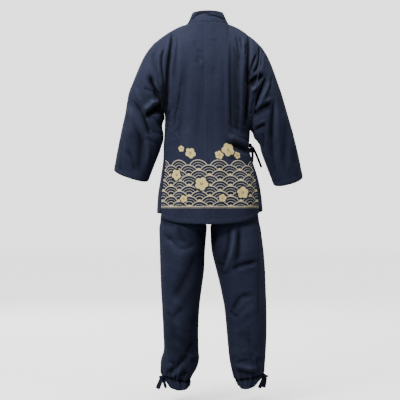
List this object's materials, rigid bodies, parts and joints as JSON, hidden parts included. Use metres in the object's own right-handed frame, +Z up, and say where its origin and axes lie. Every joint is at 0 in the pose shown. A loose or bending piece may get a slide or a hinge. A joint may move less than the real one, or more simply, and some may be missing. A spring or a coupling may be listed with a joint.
{
  "type": "samue jacket and trousers set",
  "caption": "Japanese samue: wrapped navy cotton jacket with a printed band across the back and loose trousers tied at the ankles, in its worn form",
  "frame": {"origin": "between the wearer's shoulders, level with the foot of the back of the neck: the centre of what carries the set when worn", "axes": "+Z up, the front faces -Y, the wearer's left is +X"},
  "size_m": [0.706, 0.26, 1.3998],
  "materials": {
    "navy_cotton": "plain-woven navy cotton, matt, softly creased",
    "printed_back": "the same navy cotton with a flat cream print across the lower back",
    "collar_cotton": "the same cotton folded and pressed as a collar band",
    "trouser_cotton": "the same navy cotton, matt, softly creased",
    "tie_cotton": "narrow folded and stitched tape of the same cotton"
  },
  "bodies": {
    "root": {"jacket_back_left": "printed_back", "jacket_back_right": "printed_back", "jacket_front_left": "navy_cotton", "jacket_front_right": "navy_cotton", "collar": "collar_cotton", "sleeve_left": "navy_cotton", "sleeve_right": "navy_cotton", "trouser_back_left": "trouser_cotton", "trouser_back_right": "trouser_cotton", "trouser_front_left": "trouser_cotton", "trouser_front_right": "trouser_cotton", "waistband": "trouser_cotton", "side_tie_knot": "tie_cotton", "side_tie_from_front": "tie_cotton", "side_tie_from_seam": "tie_cotton", "side_tie_loop_back": "tie_cotton", "side_tie_loop_front": "tie_cotton", "side_tie_end_back": "tie_cotton", "side_tie_end_front": "tie_cotton", "ankle_tie_left_knot": "tie_cotton", "ankle_tie_left_stub": "tie_cotton", "ankle_tie_left_end_1": "tie_cotton", "ankle_tie_left_end_2": "tie_cotton", "ankle_tie_right_knot": "tie_cotton", "ankle_tie_right_stub": "tie_cotton", "ankle_tie_right_end_1": "tie_cotton", "ankle_tie_right_end_2": "tie_cotton"}
  },
  "joints": []
}
